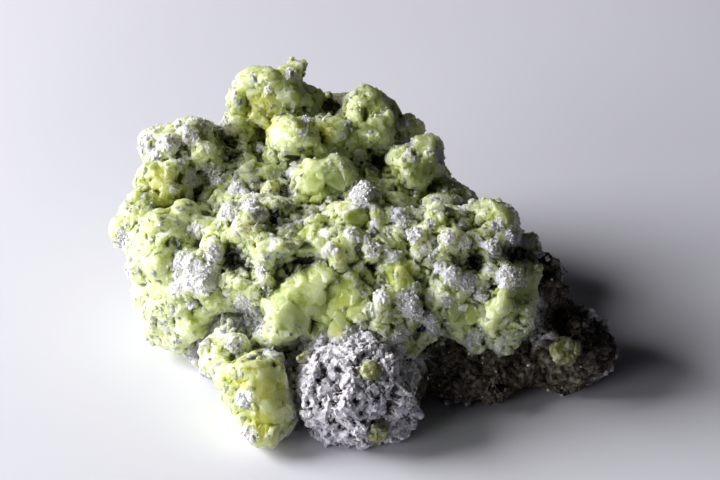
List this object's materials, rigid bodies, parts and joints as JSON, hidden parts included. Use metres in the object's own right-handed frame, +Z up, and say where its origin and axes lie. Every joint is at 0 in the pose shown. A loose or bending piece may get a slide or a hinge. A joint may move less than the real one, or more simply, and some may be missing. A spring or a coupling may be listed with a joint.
{
  "type": "sulfur specimen",
  "caption": "Hand specimen of massive yellow-green sulfur, a lumpy intergrown crust over crumbly grey matrix rock, with small lone crystals on the rock; rests on a flat base.",
  "frame": {"origin": "the middle of the specimen's footprint box, on the plane that it rests on", "axes": "+X to the right along the longest extent, as the specimen is seen from its front, +Y to the back, +Z up"},
  "size_m": [0.085, 0.0686, 0.0369],
  "materials": {
    "matrix_rock": "rough, granular, lavender grey with dark cracks",
    "sulfur": "resinous, slightly translucent yellow-green with white dust"
  },
  "bodies": {
    "root": {"matrix_rock": "matrix_rock", "sulfur_mass": "sulfur", "crystal_front_foot": "sulfur", "crystal_front_hollow": "sulfur", "crystal_front_edge": "sulfur", "crystal_right_lobe": "sulfur"}
  },
  "joints": []
}
